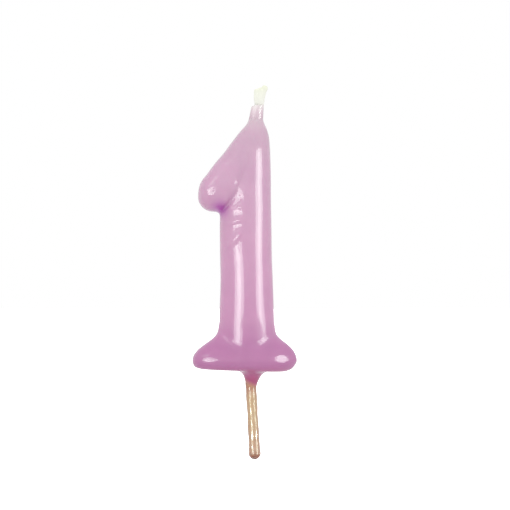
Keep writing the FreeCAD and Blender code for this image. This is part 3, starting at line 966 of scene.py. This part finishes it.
# %% Thin wax
film_wax, shader = finish("thin_wax", {
    "Roughness": 0.3, "Alpha": 0.92, "Coat Weight": 1.0, "Coat Roughness": 0.05,
})
lift = height_along(film_wax, coat_high.z * MM, film_high.z * MM)
tone = ramp(film_wax, lift, [
    (0.1, (0.71, 0.52, 0.61)), (0.5, (0.8, 0.62, 0.7)), (1.0, (0.88, 0.8, 0.8)),
])
film_wax.node_tree.links.new(tone, shader.inputs["Base Color"])
film.data.materials.append(film_wax)
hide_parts("wick_film")
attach(film, "root")
print("film finish:", film_wax.name)

# %% [markdown]
# ## The birch pick
#
# The pick is a plain birch toothpick, turned and slightly tapered out of sight. Its measured shape
# is right, so it stays and gets a grain: a noise that is stretched along the stick, which colours
# the wood and raises it a little.

# %% Birch
birch, shader = finish("birch", {"Roughness": 0.55})
place = add(birch, "TexCoord")
stretch = add(birch, "Mapping", Vector=place.outputs["Object"])
stretch.inputs["Scale"].default_value = (1.0, 1.0, 0.06)
grain = add(birch, "TexNoise", {"Scale": 3500.0, "Detail": 5.0}, Vector=stretch.outputs[0])
tone = ramp(birch, grain.outputs["Fac"], [
    (0.3, (0.58, 0.38, 0.2)), (0.5, (0.74, 0.54, 0.32)), (0.75, (0.82, 0.65, 0.42)),
])
birch.node_tree.links.new(tone, shader.inputs["Base Color"])
bump = add(birch, "Bump", {"Strength": 0.3, "Distance": 0.00005}, Height=grain.outputs["Fac"])
birch.node_tree.links.new(bump.outputs[0], shader.inputs["Normal"])
frame["nodes"]["wooden_pick"].data.materials.clear()
frame["nodes"]["wooden_pick"].data.materials.append(birch)
print("pick finish:", birch.name)

# %% [markdown]
# ## The glaze on the pick
#
# The clear gloss was brushed or dipped, so it is thicker in places, hangs in a round drop at the
# end and gives two long broken reflections. A smooth cylinder would give two ruled lines, so the
# glaze is a separate, slightly uneven skin round the wood. Its radius wanders down the pick and
# round it. Its two sides, as seen from the front, are painted browner: painted shade that stands in
# for the longer look through the glaze at its edges.

# %% Glaze shape
GLAZE_TOP = 2.6  # distance along the pick where it starts, hidden in the wax
GLAZE_SIDES, GLAZE_LEVELS = 40, 110
DROP_SWELL, DROP_UP, DROP_LONG = 0.1, 1.3, 1.2  # the drop: how fat, how far up, how long
pick = next(mount for mount in frame["record"]["mounts"] if mount["name"] == "pick")
down = Vector(pick["axis"]).normalized()
glaze_radius = pick["dims"]["r_mm"]
pick_end = -glaze_low.z / -down.z
side_way = Vector((0, 1, 0)).cross(down).normalized()
front_way = down.cross(side_way)
glaze_turns = np.linspace(0, 2 * np.pi, GLAZE_SIDES, endpoint=False)


def gloss_radius(along):
    """The glaze's mean radius at a distance along the pick, rounded off at its end."""
    bulb = DROP_SWELL * np.exp(-(((along - pick_end + DROP_UP) / DROP_LONG) ** 2))
    radius = glaze_radius + bulb + 0.035 * np.sin(1.1 * along) + 0.02 * np.sin(2.3 * along + 1)
    left, cap = max(pick_end - along, 0), glaze_radius + DROP_SWELL
    if left < cap:
        radius *= np.sqrt(max(1 - ((cap - left) / cap) ** 2, 0.0))
    return max(radius, 0.01)


build = bmesh.new()
loops = []
for level in range(GLAZE_LEVELS + 1):
    along = GLAZE_TOP + (pick_end - GLAZE_TOP) * (level / GLAZE_LEVELS)
    loop = []
    for turn in glaze_turns:
        uneven = 1 + 0.02 * np.sin(2 * turn + 0.5 * along) + 0.012 * np.sin(3 * turn - 0.9 * along)
        outwards = side_way * np.cos(turn) + front_way * np.sin(turn)
        loop.append(build.verts.new((down * along + outwards * gloss_radius(along) * uneven) * MM))
    loops.append(loop)
for low, high in zip(loops, loops[1:]):
    for side in range(GLAZE_SIDES):
        after = (side + 1) % GLAZE_SIDES
        build.faces.new((low[side], high[side], high[after], low[after]))
build.faces.new(loops[0])
build.faces.new(loops[-1][::-1])
bmesh.ops.recalc_face_normals(build, faces=build.faces)
glaze = piece_from(build, "pick_gloss")
shade_smooth(glaze.data)
# Painted shade on the pick's two sides as seen from the front.
paint(glaze.data, "side_shade", np.tile(np.abs(np.cos(glaze_turns)) ** 4, GLAZE_LEVELS + 1))
print("glaze, mm from the foot to its end:", round(pick_end, 2))

# %% Clear glaze
gloss, shader = finish("clear_glaze", {
    "Roughness": 0.2, "Alpha": 0.8, "Coat Weight": 1.0, "Coat Roughness": 0.03,
    "Subsurface Weight": 0.3, "Subsurface Radius": (1.0, 0.6, 0.35), "Subsurface Scale": 0.0006,
})
lift = height_along(gloss, glaze_low.z * MM, glaze_high.z * MM)
tone = ramp(gloss, lift, [
    (0.04, (0.42, 0.16, 0.1)), (0.13, (0.66, 0.42, 0.27)), (0.6, (0.72, 0.52, 0.3)),
    (0.85, (0.72, 0.5, 0.28)), (0.97, (0.62, 0.3, 0.2)),
])
# The painted side shade makes the glaze browner at its edges as seen from the front.
side_shade = add(gloss, "Attribute")
side_shade.attribute_name = "side_shade"
tone = blend_colour(gloss, side_shade.outputs["Fac"], tone, (0.52, 0.27, 0.17))
gloss.node_tree.links.new(tone, shader.inputs["Base Color"])
glaze.data.materials.append(gloss)
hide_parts("pick_glaze")
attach(glaze, "root")
print("glaze finish:", gloss.name)

# %% [markdown]
# ## Lights for one piece each
#
# The glaze and the film each need reflections that would be wrong on the rest. The pick is so near
# the floor that its gloss mirrors the floor and not the tall softboxes, so two long strips lie on
# the floor for it. The film stands above the top of the left sheet, so two narrow boxes are hung
# for its two fine streaks. More softboxes for everything would put their streaks on the wax too.
# Light linking does it cleanly: each of these shines on its own piece and leaves the others alone.

# %% Floor strips and film lights
ABOVE_FLOOR = 0.0003


def only_for(light, piece):
    """Light linking: the light shines on one piece and leaves the others as they are."""
    receivers = bpy.data.collections.new(light.name + "_receivers")
    receivers.objects.link(piece)
    light.light_linking.receiver_collection = receivers


def floor_strip(name, turn, near, far, width, power):
    """A light that lies on the floor, from near to far of the candle."""
    light = softbox(name, turn, 0, far - near, (near + far) / 2 * MM, width, power)
    light.location.z = glaze_low.z * MM + ABOVE_FLOOR
    light.rotation_euler = (np.pi, 0, np.radians(turn))
    light.visible_camera = False
    return light


only_for(floor_strip("left_strip", turn=-32, near=14, far=280, width=0.016, power=60), glaze)
only_for(floor_strip("right_strip", turn=62, near=14, far=280, width=0.014, power=60), glaze)
for name, turn in (("film_left", -36), ("film_right", 74)):
    only_for(softbox(name, turn, 30, 120, distance=0.5, width=0.07, power=45), film)

# %% [markdown]
# ## Sizes
#
# Last come the two boxes, the measured model's and this one's. They should agree to a tenth of a
# millimetre or so, because the looks never change a size.

# %% Sizes
for name, box in (("measured", cad_bounds), ("visual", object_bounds())):
    print(name, "box, mm:", [[round(value / MM, 2) for value in corner] for corner in box])
